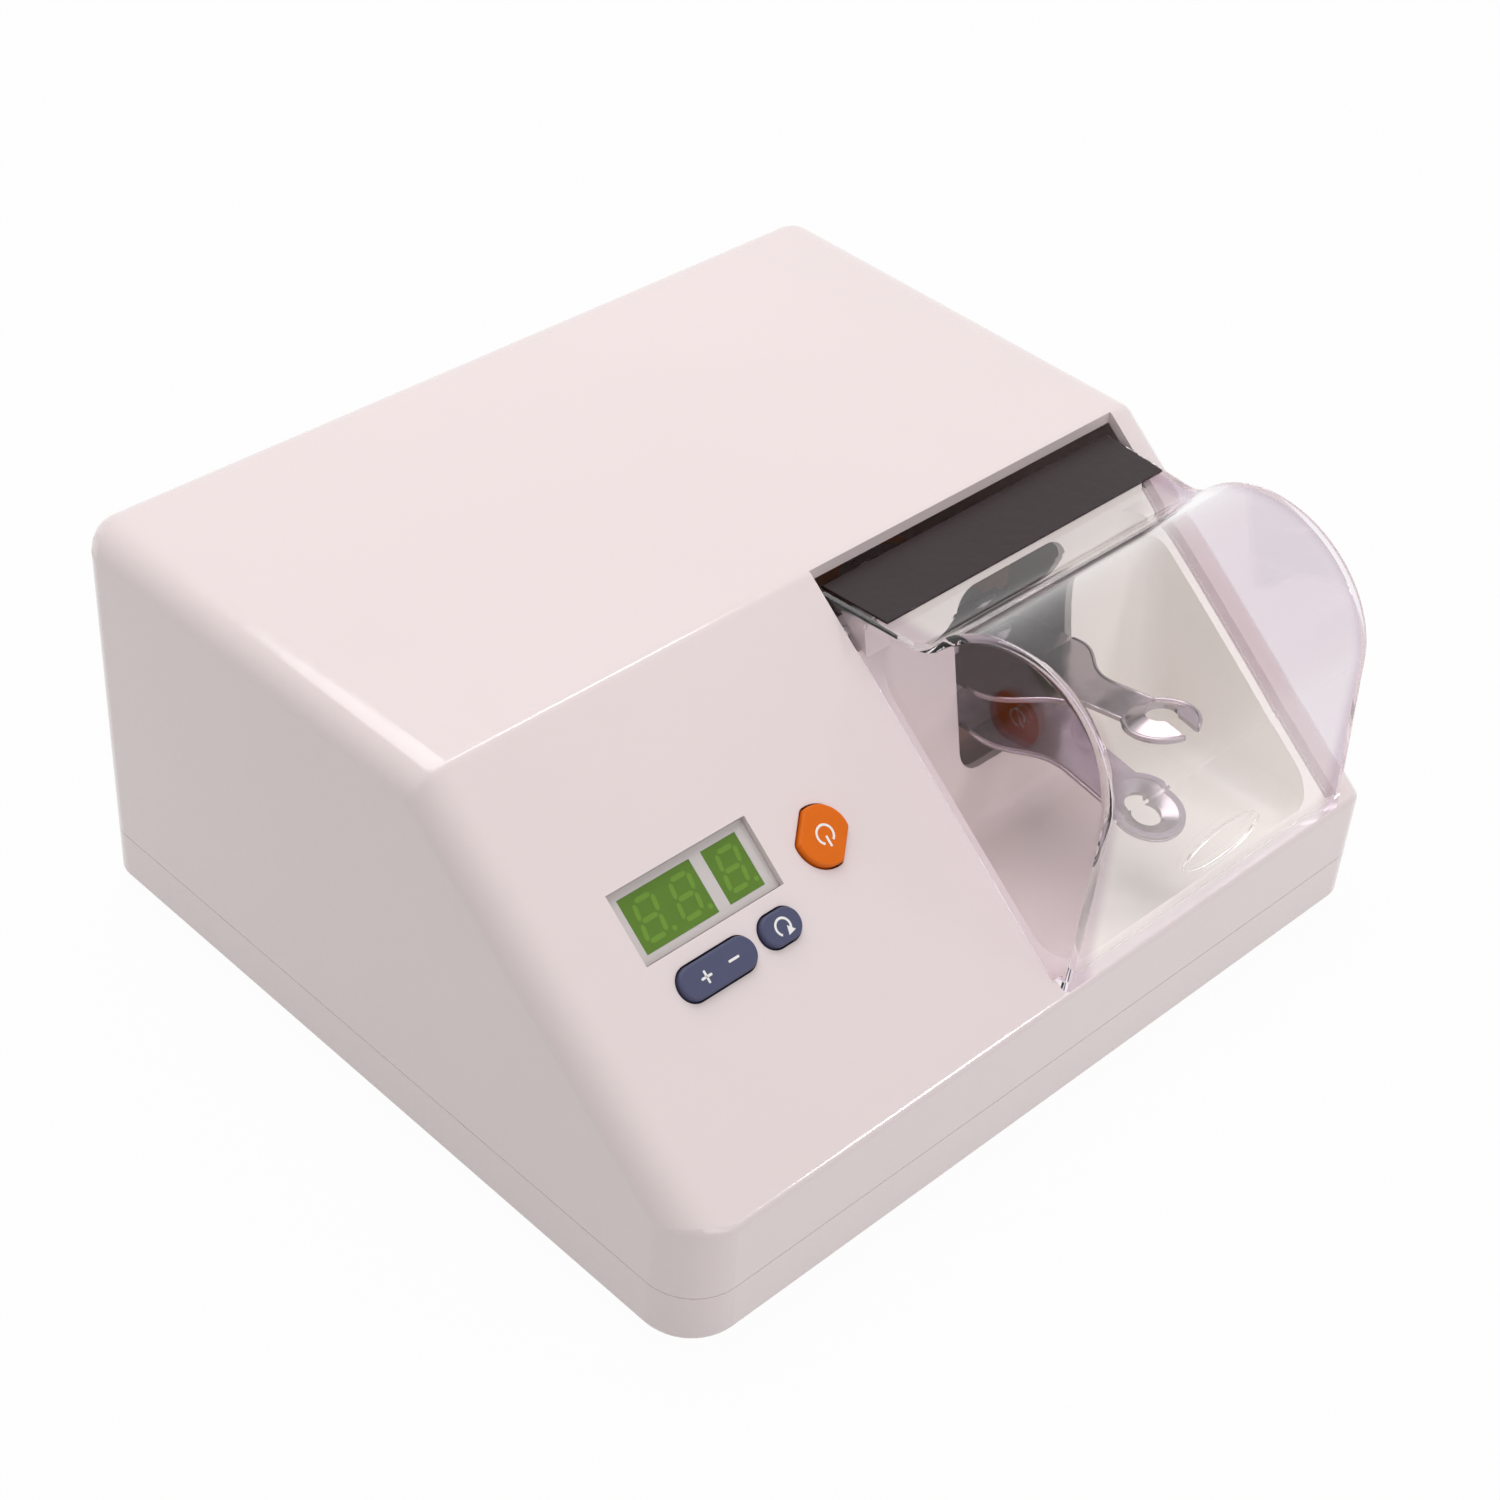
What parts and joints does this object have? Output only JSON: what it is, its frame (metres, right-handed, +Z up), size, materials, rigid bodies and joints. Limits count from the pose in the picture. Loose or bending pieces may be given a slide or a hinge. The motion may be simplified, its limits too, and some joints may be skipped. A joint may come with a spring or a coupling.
{
  "type": "dental amalgamator",
  "caption": "Bench-top capsule mixer: sloping control panel beside a clear hinged cover over a chamber with a rocking spring-steel fork.",
  "frame": {"origin": "on the table, under the middle of the case's outline", "axes": "+X to the operator's right, +Y to the back, +Z up; the sloping panel faces -Y"},
  "size_m": [0.225, 0.203, 0.1115],
  "materials": {
    "shell_plastic": "glossy moulded ABS",
    "liner_plastic": "satin moulded ABS",
    "clear_cover": "clear acrylic with a faint violet tint",
    "strip_plastic": "dark brown-black film",
    "steel": "zinc plated",
    "spring_chrome": "polished nickel-chrome plate",
    "bright_aluminium": "machined",
    "frame_bronze": "yellow-bronze passivated steel sheet",
    "black_rubber": "matt",
    "window_film": "pale grey polished window",
    "bezel_plastic": "grey ABS",
    "module_green": "unlit display face",
    "orange_key": "orange moulded key",
    "slate_key": "slate blue-grey moulded key",
    "circuit_board": "glass-epoxy board",
    "black_plastic": "black moulded plastic",
    "sintered_bronze": "sintered bronze",
    "ferrite": "ceramic magnet",
    "copper": "copper",
    "lamination": "stacked steel laminations",
    "fuse_glass": "clear glass tube"
  },
  "bodies": {
    "case": {"upper_housing": "shell_plastic", "base_tray": "shell_plastic", "rubber_feet": "black_rubber", "case_screws": "steel", "chamber_liner": "liner_plastic", "liner_screws": "steel", "lid_switch": "black_plastic", "hinge_pins": "steel", "display_window": "window_film", "display_bezel": "bezel_plastic", "two_digit_display": "module_green", "one_digit_display": "module_green", "key_switches": "black_plastic", "control_board": "circuit_board", "board_screws": "steel", "motor_can": "steel", "motor_end_cap": "black_plastic", "motor_bushes": "sintered_bronze", "motor_magnets": "ferrite", "motor_brushes": "ferrite", "motor_screws": "steel", "restraint_springs": "steel", "drive_frame": "frame_bronze", "rubber_mounts": "black_rubber", "mount_screws": "steel", "transit_screws": "steel", "mains_inlet": "black_plastic", "inlet_blades": "steel", "inlet_screws": "steel", "mains_switch_body": "black_plastic", "fuse_holder": "black_plastic", "fuse_cap": "black_plastic", "fuse_tube": "fuse_glass", "power_board": "circuit_board", "power_board_screws": "steel", "power_capacitors": "black_plastic", "heat_sink": "bright_aluminium", "transformer_core": "lamination", "transformer_coil": "copper", "transformer_screws": "steel"},
    "cover": {"hood_cover": "clear_cover", "hood_strip": "strip_plastic"},
    "start_key": {"start_key": "orange_key"},
    "time_key": {"time_key": "slate_key"},
    "speed_key": {"speed_key": "slate_key"},
    "rotor": {"motor_shaft": "steel", "armature": "lamination", "commutator": "copper", "skewed_hub": "steel", "hub_nut": "steel"},
    "fork": {"fork_carrier": "bright_aluminium", "drive_bearing": "spring_chrome", "fork_upper_arm": "spring_chrome", "fork_lower_arm": "spring_chrome", "fork_screws": "steel"},
    "mains_rocker": {"mains_rocker": "black_plastic"}
  },
  "joints": [
    {"name": "cover_hinge", "type": "hinge", "parent": "case", "child": "cover", "pos_m": [0.0504, -0.0255, 0.0915], "axis": [-1, 0, 0], "range_deg": [0, 85]},
    {"name": "start_key_press", "type": "slide", "parent": "case", "child": "start_key", "axis": [0, 0.623, -0.7822], "range_m": [0, 0.0008], "stiffness_N_per_m": 400, "springref_m": -0.0003},
    {"name": "speed_key_press", "type": "slide", "parent": "case", "child": "speed_key", "axis": [0, 0.623, -0.7822], "range_m": [0, 0.0008], "stiffness_N_per_m": 400, "springref_m": -0.0003},
    {"name": "time_key_rock", "type": "hinge", "parent": "case", "child": "time_key", "pos_m": [-0.0739, -0.06303, 0.06135], "axis": [0, 0.7822, 0.623], "range_deg": [-3, 3], "stiffness_Nm_per_rad": 0.05},
    {"name": "rotor_spin", "type": "hinge", "parent": "case", "child": "rotor", "pos_m": [0.0504, 0.0005, 0.061], "axis": [0, 0, 1], "continuous": true},
    {"name": "fork_rock", "type": "hinge", "parent": "case", "child": "fork", "pos_m": [0.0504, 0.0005, 0.061], "axis": [1, 0, 0], "range_deg": [-4, 4], "stiffness_Nm_per_rad": 4, "springref_deg": -0.23},
    {"name": "mains_rocker_tilt", "type": "hinge", "parent": "case", "child": "mains_rocker", "pos_m": [-0.036, 0.095, 0.045], "axis": [-1, 0, 0], "range_deg": [0, 18]}
  ]
}
